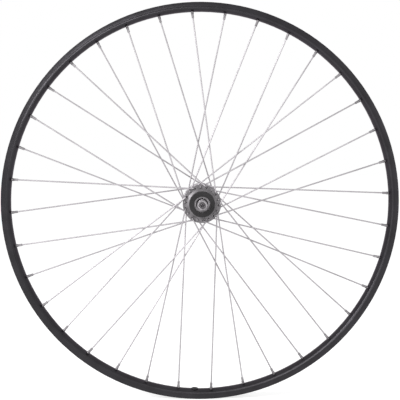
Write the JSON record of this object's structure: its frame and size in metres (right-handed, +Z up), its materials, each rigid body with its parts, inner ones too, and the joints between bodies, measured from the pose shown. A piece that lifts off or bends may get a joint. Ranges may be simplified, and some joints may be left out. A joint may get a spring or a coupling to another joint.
{
  "type": "bicycle wheel",
  "caption": "Spoked bicycle front wheel without a tyre: black single-wall rim, crossed steel spokes and a flanged grey hub turning on a hollow axle.",
  "frame": {"origin": "centre of the wheel, on the axle and midway between the two locknut faces, in the middle plane of the rim", "axes": "+Y along the axle from the bicycle's left to its right, +Z up with the valve hole at the bottom"},
  "size_m": [0.572, 0.108, 0.5719],
  "materials": {
    "rim_black": "black anodised, satin",
    "spoke_steel": "drawn stainless wire",
    "nipple_nickel": "nickel plated brass",
    "grommet_rubber": "matt black",
    "hub_alloy": "grey anodised, satin",
    "cover_plastic": "moulded black",
    "axle_steel": "black oxide",
    "bearing_steel": "ground and polished",
    "cap_steel": "pressed, bright plated",
    "nut_steel": "turned, bright plated",
    "spacer_steel": "dark turned steel",
    "seal_rubber": "matt black"
  },
  "bodies": {
    "axle_set": {"axle": "axle_steel", "left_cone": "bearing_steel", "left_seal": "seal_rubber", "left_spacer": "spacer_steel", "left_lock_washer": "nut_steel", "left_locknut": "nut_steel", "right_cone": "bearing_steel", "right_seal": "seal_rubber", "right_spacer": "spacer_steel", "right_lock_washer": "nut_steel", "right_locknut": "nut_steel"},
    "wheel": {"rim": "rim_black", "nipples": "nipple_nickel", "valve_grommet": "grommet_rubber", "hub_shell": "hub_alloy", "rotor_mount_cover": "cover_plastic", "spoke_01": "spoke_steel", "spoke_02": "spoke_steel", "spoke_03": "spoke_steel", "spoke_04": "spoke_steel", "spoke_05": "spoke_steel", "spoke_06": "spoke_steel", "spoke_07": "spoke_steel", "spoke_08": "spoke_steel", "spoke_09": "spoke_steel", "spoke_10": "spoke_steel", "spoke_11": "spoke_steel", "spoke_12": "spoke_steel", "spoke_13": "spoke_steel", "spoke_14": "spoke_steel", "spoke_15": "spoke_steel", "spoke_16": "spoke_steel", "spoke_17": "spoke_steel", "spoke_18": "spoke_steel", "spoke_19": "spoke_steel", "spoke_20": "spoke_steel", "spoke_21": "spoke_steel", "spoke_22": "spoke_steel", "spoke_23": "spoke_steel", "spoke_24": "spoke_steel", "spoke_25": "spoke_steel", "spoke_26": "spoke_steel", "spoke_27": "spoke_steel", "spoke_28": "spoke_steel", "spoke_29": "spoke_steel", "spoke_30": "spoke_steel", "spoke_31": "spoke_steel", "spoke_32": "spoke_steel", "spoke_33": "spoke_steel", "spoke_34": "spoke_steel", "spoke_35": "spoke_steel", "spoke_36": "spoke_steel", "left_bearing_cup": "bearing_steel", "left_dust_cap": "cap_steel", "right_bearing_cup": "bearing_steel", "right_dust_cap": "cap_steel"},
    "left_ball_set": {"left_balls": "bearing_steel"},
    "right_ball_set": {"right_balls": "bearing_steel"}
  },
  "joints": [
    {"name": "wheel_spin", "type": "hinge", "parent": "axle_set", "child": "wheel", "pos_m": [0, 0, 0], "axis": [0, 1, 0], "continuous": true},
    {"name": "left_ball_orbit", "type": "hinge", "parent": "axle_set", "child": "left_ball_set", "pos_m": [0, -0.022, 0], "axis": [0, 1, 0], "continuous": true},
    {"name": "right_ball_orbit", "type": "hinge", "parent": "axle_set", "child": "right_ball_set", "pos_m": [0, 0.036, 0], "axis": [0, 1, 0], "continuous": true}
  ],
  "couplings": [
    {"joint": "left_ball_orbit", "follows": "wheel_spin", "ratio": 0.60143},
    {"joint": "right_ball_orbit", "follows": "wheel_spin", "ratio": 0.60143}
  ]
}
